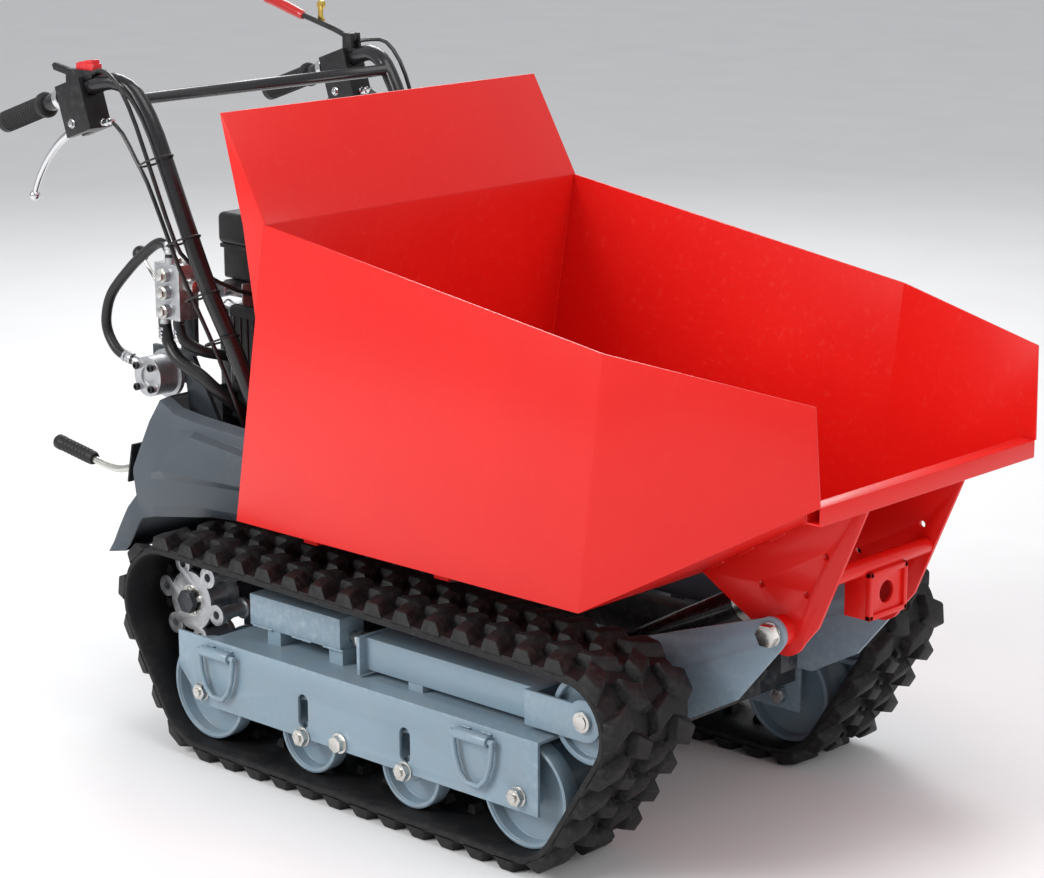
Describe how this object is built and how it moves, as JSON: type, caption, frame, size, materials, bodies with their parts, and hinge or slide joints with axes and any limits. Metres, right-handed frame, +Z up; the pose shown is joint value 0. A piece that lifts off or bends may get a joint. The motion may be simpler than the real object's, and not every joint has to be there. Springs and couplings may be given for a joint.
{
  "type": "power wheelbarrow",
  "caption": "Tracked walk-behind power wheelbarrow with a hydraulic tipping hopper, steering levers and a rear engine.",
  "frame": {"origin": "on the ground, midway between the tracks and midway along the whole machine", "axes": "+X forward towards the dump lip, +Y to the operator's left, +Z up"},
  "size_m": [1.6746, 0.78, 1.1325],
  "materials": {
    "hopper_paint": "gloss red powder coat",
    "frame_paint": "satin blue-grey paint",
    "dark_frame": "satin dark grey paint",
    "zinc": "zinc plated",
    "track_rubber": "matt rubber",
    "soft_rubber": "matt rubber",
    "cast_metal": "as cast",
    "cover_plastic": "textured slate plastic",
    "black_tube": "satin black",
    "black_plastic": "moulded black plastic",
    "chrome_rod": "hard chrome",
    "lever_metal": "polished",
    "engine_grey": "satin cast metal",
    "switch_red": "gloss red plastic",
    "lever_red": "dipped red vinyl",
    "catch_brass": "yellow passivated",
    "hose_rubber": "smooth rubber",
    "muffler_steel": "heat-tinted steel"
  },
  "bodies": {
    "root": {"chassis_frame": "dark_frame", "pivot_plates": "frame_paint", "pivot_bolts": "zinc", "rest_buffers": "soft_rubber", "track_beam_left": "frame_paint", "track_beam_right": "frame_paint", "idler_slides": "frame_paint", "tension_screws": "zinc", "roller_axles": "zinc", "track_belt_left": "track_rubber", "track_belt_right": "track_rubber", "gearbox": "dark_frame", "axle_housings": "dark_frame", "engine_block": "engine_grey", "engine_cowl": "black_plastic", "air_cleaner": "black_plastic", "fuel_tank": "black_plastic", "muffler": "muffler_steel", "console_cover": "cover_plastic", "handlebar": "black_tube", "grips": "soft_rubber", "control_housings": "black_plastic", "valve_block": "cast_metal", "gear_pump": "cast_metal", "oil_tank": "black_tube", "hydraulic_hoses": "hose_rubber", "control_cables": "hose_rubber"},
    "hopper": {"hopper_floor": "hopper_paint", "hopper_side_left": "hopper_paint", "hopper_side_right": "hopper_paint", "hopper_rear_wall": "hopper_paint", "splash_board": "hopper_paint", "lip_tube": "hopper_paint", "hinge_plates": "hopper_paint", "cylinder_hanger": "hopper_paint", "stop_bracket": "hopper_paint"},
    "barrel": {"cylinder_barrel": "black_tube"},
    "rod": {"cylinder_rod": "chrome_rod"},
    "sprocket_left": {"sprocket_left": "cast_metal"},
    "sprocket_right": {"sprocket_right": "cast_metal"},
    "idler_left": {"idler_left": "frame_paint"},
    "idler_right": {"idler_right": "frame_paint"},
    "roller_left_1": {"roller_left_1": "frame_paint"},
    "roller_left_2": {"roller_left_2": "frame_paint"},
    "roller_left_3": {"roller_left_3": "frame_paint"},
    "roller_left_4": {"roller_left_4": "frame_paint"},
    "roller_right_1": {"roller_right_1": "frame_paint"},
    "roller_right_2": {"roller_right_2": "frame_paint"},
    "roller_right_3": {"roller_right_3": "frame_paint"},
    "roller_right_4": {"roller_right_4": "frame_paint"},
    "tie_rings_left": {"tie_rings_left": "frame_paint"},
    "tie_rings_right": {"tie_rings_right": "frame_paint"},
    "brake_lever_left": {"brake_lever_left": "lever_metal"},
    "brake_lever_right": {"brake_lever_right": "lever_metal"},
    "clutch_lever": {"clutch_lever": "lever_red"},
    "throttle_lever": {"throttle_lever": "black_plastic"},
    "engine_switch": {"engine_switch": "switch_red"},
    "safety_catch": {"safety_catch": "catch_brass"},
    "valve_lever": {"valve_lever": "black_plastic"},
    "gear_lever": {"gear_lever": "zinc"}
  },
  "joints": [
    {"name": "hopper_tip", "type": "hinge", "parent": "root", "child": "hopper", "pos_m": [0.672, 0, 0.357], "axis": [0, 1, 0], "range_deg": [0, 60]},
    {"name": "barrel_swing", "type": "hinge", "parent": "root", "child": "barrel", "pos_m": [0.25, 0, 0.195], "axis": [0, -1, 0], "range_deg": [0, 7]},
    {"name": "rod_slide", "type": "slide", "parent": "barrel", "child": "rod", "axis": [0.8797, 0, 0.4756], "range_m": [0, 0.093]},
    {"name": "sprocket_left_spin", "type": "hinge", "parent": "root", "child": "sprocket_left", "pos_m": [-0.352, 0.3, 0.236], "axis": [0, 1, 0], "continuous": true},
    {"name": "idler_left_spin", "type": "hinge", "parent": "root", "child": "idler_left", "pos_m": [0.501, 0.3, 0.24], "axis": [0, 1, 0], "continuous": true},
    {"name": "roller_left_1_spin", "type": "hinge", "parent": "root", "child": "roller_left_1", "pos_m": [-0.28, 0.3, 0.112], "axis": [0, 1, 0], "continuous": true},
    {"name": "roller_left_2_spin", "type": "hinge", "parent": "root", "child": "roller_left_2", "pos_m": [-0.04812, 0.3, 0.092], "axis": [0, 1, 0], "continuous": true},
    {"name": "roller_left_3_spin", "type": "hinge", "parent": "root", "child": "roller_left_3", "pos_m": [0.17217, 0.3, 0.092], "axis": [0, 1, 0], "continuous": true},
    {"name": "roller_left_4_spin", "type": "hinge", "parent": "root", "child": "roller_left_4", "pos_m": [0.402, 0.3, 0.112], "axis": [0, 1, 0], "continuous": true},
    {"name": "tie_rings_left_swing", "type": "hinge", "parent": "root", "child": "tie_rings_left", "pos_m": [0.04, 0.38, 0.183], "axis": [1, 0, 0], "range_deg": [0, 100]},
    {"name": "brake_lever_left_squeeze", "type": "hinge", "parent": "root", "child": "brake_lever_left", "pos_m": [-0.63088, 0.28871, 0.9718], "axis": [0, 1, 0], "range_deg": [0, 18], "stiffness_Nm_per_rad": 1.5, "springref_deg": -20.05},
    {"name": "sprocket_right_spin", "type": "hinge", "parent": "root", "child": "sprocket_right", "pos_m": [-0.352, -0.3, 0.236], "axis": [0, 1, 0], "continuous": true},
    {"name": "idler_right_spin", "type": "hinge", "parent": "root", "child": "idler_right", "pos_m": [0.501, -0.3, 0.24], "axis": [0, 1, 0], "continuous": true},
    {"name": "roller_right_1_spin", "type": "hinge", "parent": "root", "child": "roller_right_1", "pos_m": [-0.28, -0.3, 0.112], "axis": [0, 1, 0], "continuous": true},
    {"name": "roller_right_2_spin", "type": "hinge", "parent": "root", "child": "roller_right_2", "pos_m": [-0.04812, -0.3, 0.092], "axis": [0, 1, 0], "continuous": true},
    {"name": "roller_right_3_spin", "type": "hinge", "parent": "root", "child": "roller_right_3", "pos_m": [0.17217, -0.3, 0.092], "axis": [0, 1, 0], "continuous": true},
    {"name": "roller_right_4_spin", "type": "hinge", "parent": "root", "child": "roller_right_4", "pos_m": [0.402, -0.3, 0.112], "axis": [0, 1, 0], "continuous": true},
    {"name": "tie_rings_right_swing", "type": "hinge", "parent": "root", "child": "tie_rings_right", "pos_m": [0.04, -0.38, 0.183], "axis": [-1, 0, 0], "range_deg": [0, 100]},
    {"name": "brake_lever_right_squeeze", "type": "hinge", "parent": "root", "child": "brake_lever_right", "pos_m": [-0.63088, -0.28871, 0.9718], "axis": [0, 1, 0], "range_deg": [0, 18], "stiffness_Nm_per_rad": 1.5, "springref_deg": -20.05},
    {"name": "clutch_lever_press", "type": "hinge", "parent": "root", "child": "clutch_lever", "pos_m": [-0.61131, 0.28828, 1.06447], "axis": [0, -1, 0], "range_deg": [0, 28], "stiffness_Nm_per_rad": 2.5, "springref_deg": -28.65},
    {"name": "safety_catch_turn", "type": "hinge", "parent": "clutch_lever", "child": "safety_catch", "pos_m": [-0.69531, 0.28828, 1.08847], "axis": [0, -1, 0], "range_deg": [0, 50]},
    {"name": "throttle_turn", "type": "hinge", "parent": "root", "child": "throttle_lever", "pos_m": [-0.65108, -0.28895, 1.04999], "axis": [0, 1, 0], "range_deg": [0, 60]},
    {"name": "engine_switch_press", "type": "slide", "parent": "root", "child": "engine_switch", "axis": [0, 0, -1], "range_m": [0, 0.003], "stiffness_N_per_m": 500, "springref_m": -0.002},
    {"name": "valve_lever_tilt", "type": "hinge", "parent": "root", "child": "valve_lever", "pos_m": [-0.53, -0.215, 0.691], "axis": [0, 1, 0], "range_deg": [-18, 18], "stiffness_Nm_per_rad": 2},
    {"name": "gear_lever_shift", "type": "hinge", "parent": "root", "child": "gear_lever", "pos_m": [-0.47, -0.24, 0.415], "axis": [0, 1, 0], "range_deg": [-8, 8]}
  ],
  "couplings": [
    {"joint": "barrel_swing", "follows": "hopper_tip", "ratio": 0.115},
    {"joint": "rod_slide", "follows": "hopper_tip", "m_per_rad": 0.0878},
    {"joint": "idler_left_spin", "follows": "sprocket_left_spin", "ratio": 1.2836},
    {"joint": "roller_left_1_spin", "follows": "sprocket_left_spin", "ratio": 1.0488},
    {"joint": "roller_left_2_spin", "follows": "sprocket_left_spin", "ratio": 1.3871},
    {"joint": "roller_left_3_spin", "follows": "sprocket_left_spin", "ratio": 1.3871},
    {"joint": "roller_left_4_spin", "follows": "sprocket_left_spin", "ratio": 1.0488},
    {"joint": "idler_right_spin", "follows": "sprocket_right_spin", "ratio": 1.2836},
    {"joint": "roller_right_1_spin", "follows": "sprocket_right_spin", "ratio": 1.0488},
    {"joint": "roller_right_2_spin", "follows": "sprocket_right_spin", "ratio": 1.3871},
    {"joint": "roller_right_3_spin", "follows": "sprocket_right_spin", "ratio": 1.3871},
    {"joint": "roller_right_4_spin", "follows": "sprocket_right_spin", "ratio": 1.0488}
  ]
}
